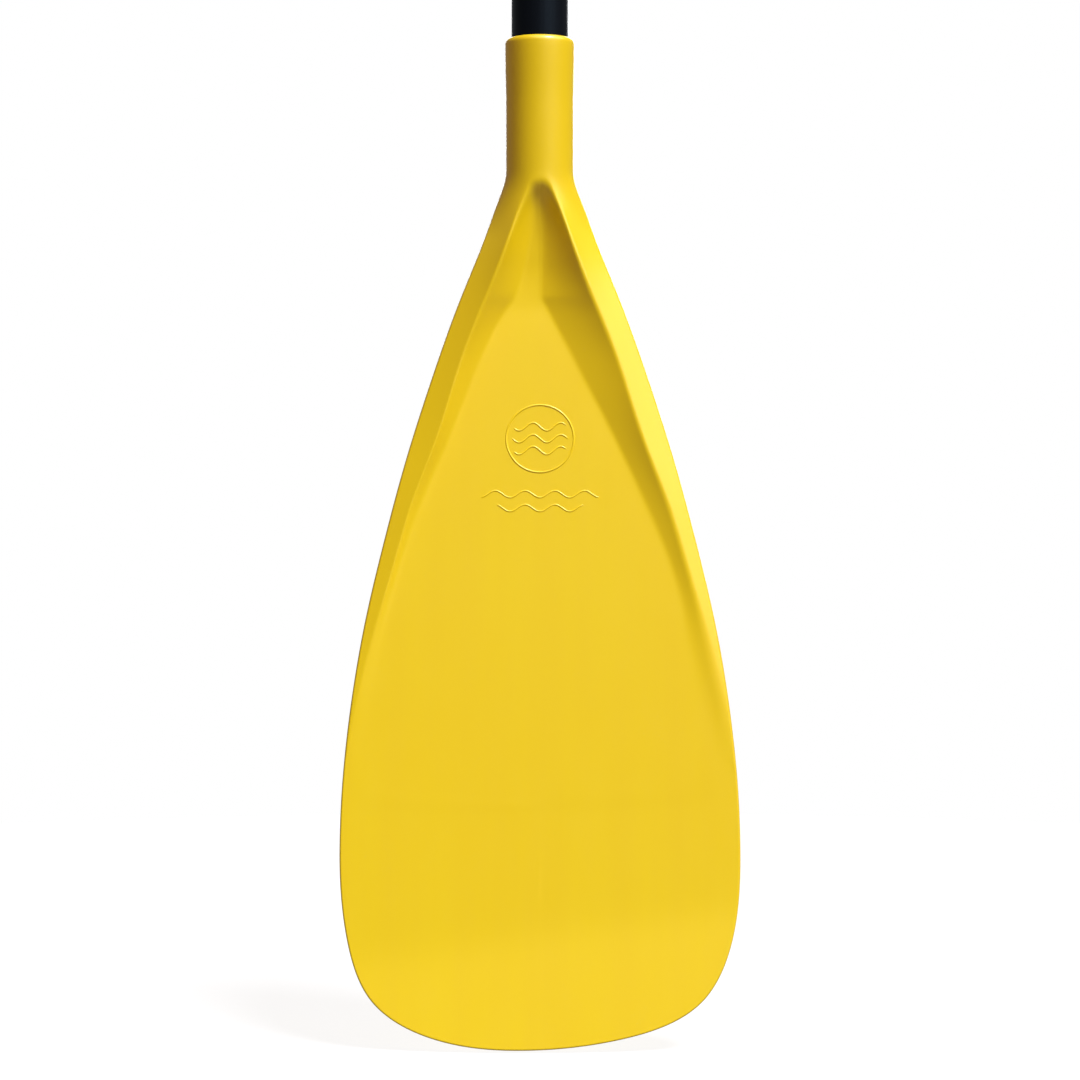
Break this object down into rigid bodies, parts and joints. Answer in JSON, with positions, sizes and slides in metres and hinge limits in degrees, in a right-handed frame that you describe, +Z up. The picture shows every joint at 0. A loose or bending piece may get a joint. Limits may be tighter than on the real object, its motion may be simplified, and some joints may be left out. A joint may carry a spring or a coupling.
{
  "type": "stand-up paddle",
  "caption": "Adjustable stand-up paddle: moulded blade with a round neck on a slim tubular shaft, with a cam-lever height clamp and a T grip.",
  "frame": {"origin": "on the shaft's axis at the mouth of the blade's socket", "axes": "+Z up the shaft towards the grip, -Y out of the blade's power face, +X to the right seen from the power face"},
  "size_m": [0.1984, 0.0892, 1.6775],
  "materials": {
    "blade_plastic": "moulded yellow polypropylene, satin",
    "black_tube": "black anodised aluminium tube, satin",
    "black_nylon": "glass-filled nylon, fine moulded texture",
    "grip_rubber": "soft moulded elastomer, matt",
    "seal_rubber": "nitrile rubber",
    "steel": "stainless steel, turned",
    "alu": "plain aluminium",
    "float_foam": "closed-cell foam"
  },
  "bodies": {
    "blade_and_shaft": {"blade": "blade_plastic", "lower_shaft": "black_tube", "middle_shaft": "black_tube", "neck_rivet": "alu", "ferrule_rivets": "alu", "lower_plug": "float_foam", "joint_collar": "black_nylon", "ferrule": "black_nylon", "o_ring": "seal_rubber", "button_spring": "steel", "stop_plug": "black_nylon", "clamp_collar": "black_nylon", "clamp_bush": "black_nylon", "clamp_screw": "steel", "clamp_bolt": "steel", "clamp_washer": "steel", "clamp_pivot": "steel"},
    "upper_section": {"upper_shaft": "black_tube", "guide_bush": "black_nylon", "float_plug": "float_foam", "grip_core": "black_nylon", "palm_pad": "grip_rubber", "grip_screw": "steel"},
    "lever": {"clamp_lever": "black_nylon"},
    "nut": {"clamp_nut": "steel"},
    "button": {"snap_button": "steel"}
  },
  "joints": [
    {"name": "height_slide", "type": "slide", "parent": "blade_and_shaft", "child": "upper_section", "axis": [0, 0, 1], "range_m": [0, 0.45]},
    {"name": "lever_hinge", "type": "hinge", "parent": "blade_and_shaft", "child": "lever", "pos_m": [0.023, -0.02325, 1.056], "axis": [0, 0, -1], "range_deg": [0, 150]},
    {"name": "nut_spin", "type": "hinge", "parent": "blade_and_shaft", "child": "nut", "pos_m": [-0.0158, -0.02325, 1.056], "axis": [1, 0, 0], "continuous": true},
    {"name": "button_press", "type": "slide", "parent": "blade_and_shaft", "child": "button", "axis": [0, 1, 0], "range_m": [0, 0.0055], "stiffness_N_per_m": 900, "springref_m": -0.002, "deforming": ["button_spring"]}
  ]
}
